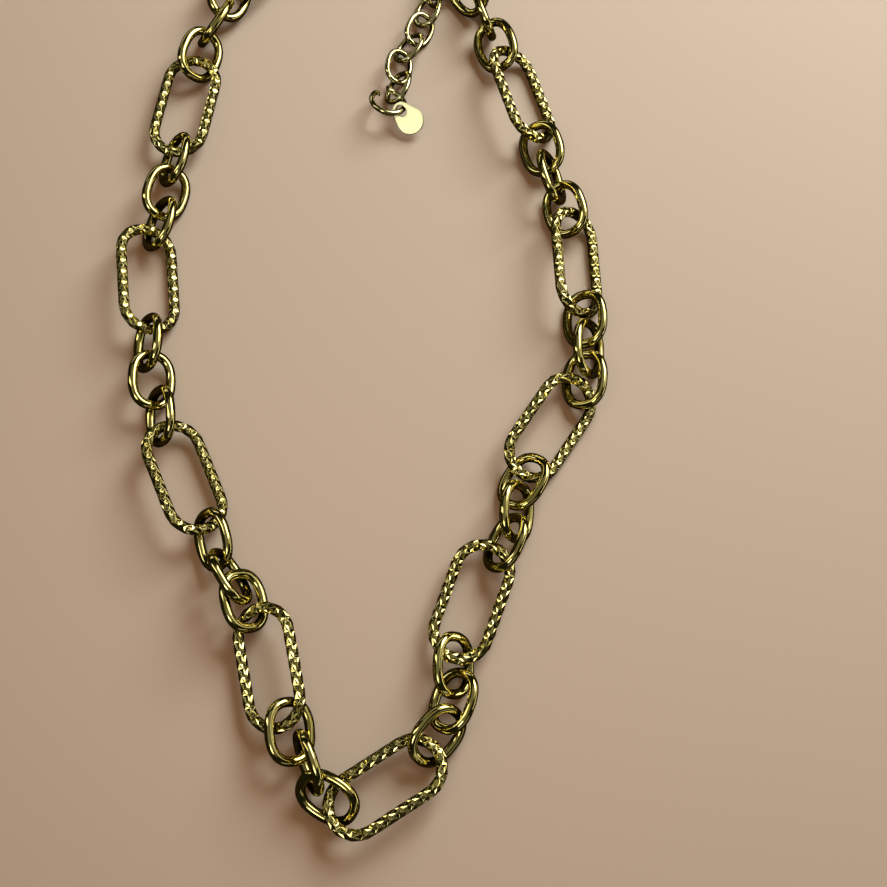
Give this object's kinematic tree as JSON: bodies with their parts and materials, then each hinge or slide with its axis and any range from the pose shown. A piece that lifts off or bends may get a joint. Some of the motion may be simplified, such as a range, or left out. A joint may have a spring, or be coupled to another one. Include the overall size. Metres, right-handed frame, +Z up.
{
  "type": "chain necklace",
  "caption": "Gold chain necklace of round smooth links between long faceted oval links, with a lobster clasp and a short extender chain ending in a round tag.",
  "frame": {"origin": "centre of the laid-out necklace's bounding box, on the table it lies on", "axes": "+Z up from the table, +Y from the front link towards the clasp, +X to the wearer's left as the chain lies face up"},
  "size_m": [0.0902, 0.1826, 0.0089],
  "materials": {
    "textured_gold": "polished",
    "smooth_gold": "polished",
    "ring_gold": "polished",
    "tag_gold": "satin",
    "clasp_gold": "polished",
    "pin_gold": "satin",
    "spring_wire": "polished"
  },
  "bodies": {
    "front_textured_link": {"front_textured_link": "textured_gold"},
    "left_smooth_link_01": {"left_smooth_link_01": "smooth_gold"},
    "left_smooth_link_02": {"left_smooth_link_02": "smooth_gold"},
    "left_smooth_link_03": {"left_smooth_link_03": "smooth_gold"},
    "left_textured_link_1": {"left_textured_link_1": "textured_gold"},
    "left_smooth_link_04": {"left_smooth_link_04": "smooth_gold"},
    "left_smooth_link_05": {"left_smooth_link_05": "smooth_gold"},
    "left_smooth_link_06": {"left_smooth_link_06": "smooth_gold"},
    "left_textured_link_2": {"left_textured_link_2": "textured_gold"},
    "left_smooth_link_07": {"left_smooth_link_07": "smooth_gold"},
    "left_smooth_link_08": {"left_smooth_link_08": "smooth_gold"},
    "left_smooth_link_09": {"left_smooth_link_09": "smooth_gold"},
    "left_textured_link_3": {"left_textured_link_3": "textured_gold"},
    "left_smooth_link_10": {"left_smooth_link_10": "smooth_gold"},
    "left_smooth_link_11": {"left_smooth_link_11": "smooth_gold"},
    "left_smooth_link_12": {"left_smooth_link_12": "smooth_gold"},
    "left_textured_link_4": {"left_textured_link_4": "textured_gold"},
    "left_smooth_link_13": {"left_smooth_link_13": "smooth_gold"},
    "left_smooth_link_14": {"left_smooth_link_14": "smooth_gold"},
    "left_smooth_link_15": {"left_smooth_link_15": "smooth_gold"},
    "left_textured_link_5": {"left_textured_link_5": "textured_gold"},
    "left_smooth_link_16": {"left_smooth_link_16": "smooth_gold"},
    "left_smooth_link_17": {"left_smooth_link_17": "smooth_gold"},
    "left_smooth_link_18": {"left_smooth_link_18": "smooth_gold"},
    "clasp_ring": {"clasp_ring": "ring_gold"},
    "right_smooth_link_01": {"right_smooth_link_01": "smooth_gold"},
    "right_smooth_link_02": {"right_smooth_link_02": "smooth_gold"},
    "right_smooth_link_03": {"right_smooth_link_03": "smooth_gold"},
    "right_textured_link_1": {"right_textured_link_1": "textured_gold"},
    "right_smooth_link_04": {"right_smooth_link_04": "smooth_gold"},
    "right_smooth_link_05": {"right_smooth_link_05": "smooth_gold"},
    "right_smooth_link_06": {"right_smooth_link_06": "smooth_gold"},
    "right_textured_link_2": {"right_textured_link_2": "textured_gold"},
    "right_smooth_link_07": {"right_smooth_link_07": "smooth_gold"},
    "right_smooth_link_08": {"right_smooth_link_08": "smooth_gold"},
    "right_smooth_link_09": {"right_smooth_link_09": "smooth_gold"},
    "right_textured_link_3": {"right_textured_link_3": "textured_gold"},
    "right_smooth_link_10": {"right_smooth_link_10": "smooth_gold"},
    "right_smooth_link_11": {"right_smooth_link_11": "smooth_gold"},
    "right_smooth_link_12": {"right_smooth_link_12": "smooth_gold"},
    "right_textured_link_4": {"right_textured_link_4": "textured_gold"},
    "right_smooth_link_13": {"right_smooth_link_13": "smooth_gold"},
    "right_smooth_link_14": {"right_smooth_link_14": "smooth_gold"},
    "right_smooth_link_15": {"right_smooth_link_15": "smooth_gold"},
    "end_ring": {"end_ring": "ring_gold"},
    "extender_link_1": {"extender_link_1": "ring_gold"},
    "extender_link_2": {"extender_link_2": "ring_gold"},
    "extender_link_3": {"extender_link_3": "ring_gold"},
    "extender_link_4": {"extender_link_4": "ring_gold"},
    "extender_link_5": {"extender_link_5": "ring_gold"},
    "extender_link_6": {"extender_link_6": "ring_gold"},
    "tag_ring": {"tag_ring": "ring_gold"},
    "drop_tag": {"drop_tag": "tag_gold"},
    "clasp_body": {"clasp_body": "clasp_gold", "clasp_pin": "pin_gold", "clasp_spring": "spring_wire"},
    "clasp_lever": {"clasp_lever": "clasp_gold"}
  },
  "joints": [
    {"name": "left_smooth_01_swing", "type": "hinge", "parent": "front_textured_link", "child": "left_smooth_link_01", "pos_m": [-0.0013, -0.08973, 0.00422], "axis": [0.8495, -0.5044, 0.1548], "range_deg": [0, 13.5]},
    {"name": "left_smooth_02_swing", "type": "hinge", "parent": "left_smooth_link_01", "child": "left_smooth_link_02", "pos_m": [-0.00569, -0.08084, 0.00475], "axis": [-0.9268, -0.1217, -0.3554], "range_deg": [-25, 8.5]},
    {"name": "left_smooth_03_swing", "type": "hinge", "parent": "left_smooth_link_02", "child": "left_smooth_link_03", "pos_m": [-0.00831, -0.07845, 0.00085], "axis": [-0.3584, 0.9336, 0], "range_deg": [-6, 25]},
    {"name": "left_textured_1_swing", "type": "hinge", "parent": "left_smooth_link_03", "child": "left_textured_link_1", "pos_m": [-0.0133, -0.07377, 0.00581], "axis": [0.1219, -0.9925, 0], "range_deg": [0, 25]},
    {"name": "left_smooth_04_swing", "type": "hinge", "parent": "left_textured_link_1", "child": "left_smooth_link_04", "pos_m": [-0.01914, -0.05608, 0.00281], "axis": [0.4455, 0.8725, 0.2005], "range_deg": [-3.5, 25]},
    {"name": "left_smooth_05_swing", "type": "hinge", "parent": "left_smooth_link_04", "child": "left_smooth_link_05", "pos_m": [-0.02145, -0.05332, 0.00615], "axis": [-0.2588, 0.9659, 0], "range_deg": [-1, 25]},
    {"name": "left_smooth_06_swing", "type": "hinge", "parent": "left_smooth_link_05", "child": "left_smooth_link_06", "pos_m": [-0.02323, -0.04441, 0.00342], "axis": [0.4403, -0.1632, -0.8829], "range_deg": [-25, 25]},
    {"name": "left_textured_2_swing", "type": "hinge", "parent": "left_smooth_link_06", "child": "left_textured_link_2", "pos_m": [-0.02731, -0.03848, 0.00243], "axis": [0.4058, 0.7352, 0.543], "range_deg": [-13.5, 25]},
    {"name": "left_smooth_07_swing", "type": "hinge", "parent": "left_textured_link_2", "child": "left_smooth_link_07", "pos_m": [-0.03611, -0.02286, 0.00451], "axis": [-0.531, -0.7762, 0.3399], "range_deg": [-25, 25]},
    {"name": "left_smooth_08_swing", "type": "hinge", "parent": "left_smooth_link_07", "child": "left_smooth_link_08", "pos_m": [-0.03744, -0.016, 0.00162], "axis": [-0.379, -0.7646, -0.5213], "range_deg": [-25, 18.5]},
    {"name": "left_smooth_09_swing", "type": "hinge", "parent": "left_smooth_link_08", "child": "left_smooth_link_09", "pos_m": [-0.0392, -0.00869, 0.00479], "axis": [0.6275, 0.6321, -0.4546], "range_deg": [-25, 25]},
    {"name": "left_textured_3_swing", "type": "hinge", "parent": "left_smooth_link_09", "child": "left_textured_link_3", "pos_m": [-0.0384, -0.00074, 0.00358], "axis": [0.669, -0.0212, 0.743], "range_deg": [-25, 25]},
    {"name": "left_smooth_10_swing", "type": "hinge", "parent": "left_textured_link_3", "child": "left_smooth_link_10", "pos_m": [-0.03746, 0.01605, 0.00158], "axis": [-0.6677, 0.6644, 0.3359], "range_deg": [-25, 4.2]},
    {"name": "left_smooth_11_swing", "type": "hinge", "parent": "left_smooth_link_10", "child": "left_smooth_link_11", "pos_m": [-0.03927, 0.02202, 0.00135], "axis": [-0.5798, -0.6968, -0.4222], "range_deg": [-25, 4.2]},
    {"name": "left_smooth_12_swing", "type": "hinge", "parent": "left_smooth_link_11", "child": "left_smooth_link_12", "pos_m": [-0.03736, 0.02971, 0.00374], "axis": [0.8251, 0.2075, -0.5255], "range_deg": [-25, 9.3]},
    {"name": "left_textured_4_swing", "type": "hinge", "parent": "left_smooth_link_12", "child": "left_textured_link_4", "pos_m": [-0.03749, 0.03505, 0.00122], "axis": [0.4849, 0.7885, 0.3783], "range_deg": [-3.5, 9.3]},
    {"name": "left_smooth_13_swing", "type": "hinge", "parent": "left_textured_link_4", "child": "left_smooth_link_13", "pos_m": [-0.03427, 0.05355, 0.00317], "axis": [0.9952, 0.0983, 0], "range_deg": [-3.5, 9.3]},
    {"name": "left_smooth_14_swing", "type": "hinge", "parent": "left_smooth_link_13", "child": "left_smooth_link_14", "pos_m": [-0.03224, 0.05942, 0.00437], "axis": [0.7703, 0.2216, -0.5979], "range_deg": [-25, 2.2]},
    {"name": "left_smooth_15_swing", "type": "hinge", "parent": "left_smooth_link_14", "child": "left_smooth_link_15", "pos_m": [-0.02805, 0.06587, 0.00293], "axis": [-0.5723, -0.0718, -0.8169], "range_deg": [-25, 1.4]},
    {"name": "left_textured_5_swing", "type": "hinge", "parent": "left_smooth_link_15", "child": "left_textured_link_5", "pos_m": [-0.02993, 0.06976, 0.00591], "axis": [0.309, 0.9511, 0], "range_deg": [-21, 0]},
    {"name": "left_smooth_16_swing", "type": "hinge", "parent": "left_textured_link_5", "child": "left_smooth_link_16", "pos_m": [-0.01543, 0.08492, 0.00367], "axis": [0.7288, -0.6847, 0], "range_deg": [-25, 15.1]},
    {"name": "left_smooth_17_swing", "type": "hinge", "parent": "left_smooth_link_16", "child": "left_smooth_link_17", "pos_m": [-0.00931, 0.08803, 0.00272], "axis": [-0.5701, 0.3861, -0.7252], "range_deg": [-25, 7.2]},
    {"name": "left_smooth_18_swing", "type": "hinge", "parent": "left_smooth_link_17", "child": "left_smooth_link_18", "pos_m": [-0.00149, 0.08831, 0.0035], "axis": [0.1244, -0.7328, -0.669], "range_deg": [-25, 25]},
    {"name": "clasp_ring_swing", "type": "hinge", "parent": "left_smooth_link_18", "child": "clasp_ring", "pos_m": [0.00587, 0.08693, 0.00288], "axis": [0.0282, -0.7501, 0.6607], "range_deg": [-25, 25]},
    {"name": "right_smooth_01_swing", "type": "hinge", "parent": "front_textured_link", "child": "right_smooth_link_01", "pos_m": [0.01252, -0.07579, 0.00343], "axis": [0.8864, -0.4385, 0.1484], "range_deg": [-8.5, 18.5]},
    {"name": "right_smooth_02_swing", "type": "hinge", "parent": "right_smooth_link_01", "child": "right_smooth_link_02", "pos_m": [0.01816, -0.07393, 0.00194], "axis": [-0.1969, -0.9292, -0.3126], "range_deg": [-25, 11]},
    {"name": "right_smooth_03_swing", "type": "hinge", "parent": "right_smooth_link_02", "child": "right_smooth_link_03", "pos_m": [0.01444, -0.06723, 0.00099], "axis": [-0.342, -0.9397, 0], "range_deg": [-25, 8.5]},
    {"name": "right_textured_1_swing", "type": "hinge", "parent": "right_smooth_link_03", "child": "right_textured_link_1", "pos_m": [0.01466, -0.06046, 0.00544], "axis": [-0.3541, -0.8889, 0.2907], "range_deg": [0, 21]},
    {"name": "right_smooth_04_swing", "type": "hinge", "parent": "right_textured_link_1", "child": "right_smooth_link_04", "pos_m": [0.02653, -0.04614, 0.00307], "axis": [0.263, -0.9648, 0], "range_deg": [-3.5, 25]},
    {"name": "right_smooth_05_swing", "type": "hinge", "parent": "right_smooth_link_04", "child": "right_smooth_link_05", "pos_m": [0.02879, -0.0419, 0.00635], "axis": [0.3392, 0.9369, -0.0848], "range_deg": [-25, 21]},
    {"name": "right_smooth_06_swing", "type": "hinge", "parent": "right_smooth_link_05", "child": "right_smooth_link_06", "pos_m": [0.02848, -0.03216, 0.00358], "axis": [0.6394, -0.0666, -0.766], "range_deg": [-25, 25]},
    {"name": "right_textured_2_swing", "type": "hinge", "parent": "right_smooth_link_06", "child": "right_textured_link_2", "pos_m": [0.02726, -0.02882, 0.00085], "axis": [0.5, 0.866, 0], "range_deg": [-6, 25]},
    {"name": "right_smooth_07_swing", "type": "hinge", "parent": "right_textured_link_2", "child": "right_smooth_link_07", "pos_m": [0.04194, -0.01702, 0.00116], "axis": [0.1087, 0.98, 0.1667], "range_deg": [-16, 3.5]},
    {"name": "right_smooth_08_swing", "type": "hinge", "parent": "right_smooth_link_07", "child": "right_smooth_link_08", "pos_m": [0.0439, -0.01167, 0.00469], "axis": [-0.0872, -0.9962, 0], "range_deg": [-21, 25]},
    {"name": "right_smooth_09_swing", "type": "hinge", "parent": "right_smooth_link_08", "child": "right_smooth_link_09", "pos_m": [0.04397, -0.00545, 0.00086], "axis": [-0.018, -0.9996, -0.0202], "range_deg": [-25, 11]},
    {"name": "right_textured_3_swing", "type": "hinge", "parent": "right_smooth_link_09", "child": "right_textured_link_3", "pos_m": [0.03819, 0.00012, 0.00085], "axis": [0, -1, 0], "range_deg": [-25, 6]},
    {"name": "right_smooth_10_swing", "type": "hinge", "parent": "right_textured_link_3", "child": "right_smooth_link_10", "pos_m": [0.04062, 0.02021, 0.0029], "axis": [-0.7607, 0.2881, 0.5817], "range_deg": [-25, 25]},
    {"name": "right_smooth_11_swing", "type": "hinge", "parent": "right_smooth_link_10", "child": "right_smooth_link_11", "pos_m": [0.0361, 0.02569, 0.00237], "axis": [-0.671, -0.5028, -0.5449], "range_deg": [-25, 25]},
    {"name": "right_smooth_12_swing", "type": "hinge", "parent": "right_smooth_link_11", "child": "right_smooth_link_12", "pos_m": [0.03619, 0.03154, 0.00163], "axis": [0.4913, -0.6551, -0.574], "range_deg": [-25, 25]},
    {"name": "right_textured_4_swing", "type": "hinge", "parent": "right_smooth_link_12", "child": "right_textured_link_4", "pos_m": [0.0352, 0.03871, 0.00405], "axis": [0.7798, -0.5134, 0.3582], "range_deg": [-25, 25]},
    {"name": "right_smooth_13_swing", "type": "hinge", "parent": "right_textured_link_4", "child": "right_smooth_link_13", "pos_m": [0.02603, 0.05457, 0.00485], "axis": [-0.5737, -0.6197, 0.5356], "range_deg": [-11, 25]},
    {"name": "right_smooth_14_swing", "type": "hinge", "parent": "right_smooth_link_13", "child": "right_smooth_link_14", "pos_m": [0.02475, 0.06147, 0.00402], "axis": [-0.8536, -0.0001, -0.5209], "range_deg": [-25, 25]},
    {"name": "right_smooth_15_swing", "type": "hinge", "parent": "right_smooth_link_14", "child": "right_smooth_link_15", "pos_m": [0.02242, 0.06747, 0.00209], "axis": [0.3872, -0.5501, -0.7399], "range_deg": [-25, 6]},
    {"name": "end_ring_swing", "type": "hinge", "parent": "right_smooth_link_15", "child": "end_ring", "pos_m": [0.01755, 0.07362, 0.00407], "axis": [0.6054, 0.2438, 0.7577], "range_deg": [-25, 6]},
    {"name": "extender_1_swing", "type": "hinge", "parent": "end_ring", "child": "extender_link_1", "pos_m": [0.01272, 0.07355, 0.00231], "axis": [-0.0135, -0.9958, 0.0904], "range_deg": [-25, 11]},
    {"name": "extender_2_swing", "type": "hinge", "parent": "extender_link_1", "child": "extender_link_2", "pos_m": [0.01388, 0.06801, 0.00084], "axis": [0.4783, 0.7438, -0.4668], "range_deg": [-25, 25]},
    {"name": "extender_3_swing", "type": "hinge", "parent": "extender_link_2", "child": "extender_link_3", "pos_m": [0.01213, 0.06274, 0.00213], "axis": [-0.8836, -0.1912, -0.4275], "range_deg": [-25, 25]},
    {"name": "extender_4_swing", "type": "hinge", "parent": "extender_link_3", "child": "extender_link_4", "pos_m": [0.00974, 0.05846, 0.00139], "axis": [-0.8625, 0.0555, 0.5031], "range_deg": [-25, 25]},
    {"name": "extender_5_swing", "type": "hinge", "parent": "extender_link_4", "child": "extender_link_5", "pos_m": [0.00596, 0.05565, 0.00101], "axis": [0.2822, -0.8616, 0.4219], "range_deg": [-25, 25]},
    {"name": "extender_6_swing", "type": "hinge", "parent": "extender_link_5", "child": "extender_link_6", "pos_m": [0.00769, 0.05055, 0.00078], "axis": [0.6462, 0.6916, -0.3226], "range_deg": [-25, 16]},
    {"name": "tag_ring_swing", "type": "hinge", "parent": "extender_link_6", "child": "tag_ring", "pos_m": [0.00432, 0.0463, 0.00093], "axis": [-0.2708, 0.857, -0.4384], "range_deg": [-6, 25]},
    {"name": "tag_swing", "type": "hinge", "parent": "tag_ring", "child": "drop_tag", "pos_m": [0.0071, 0.04253, 0.00302], "axis": [-0.5624, -0.7199, 0.4067], "range_deg": [-6, 28.5]},
    {"name": "clasp_swing", "type": "hinge", "parent": "clasp_ring", "child": "clasp_body", "pos_m": [0.0088, 0.08589, 0.00301], "axis": [0.0538, 0.2532, 0.9659], "range_deg": [-25, 25]},
    {"name": "lever_open", "type": "hinge", "parent": "clasp_body", "child": "clasp_lever", "pos_m": [0.01271, 0.08655, 0.00261], "axis": [-0.1035, 0.0145, -0.9945], "range_deg": [0, 22]}
  ]
}
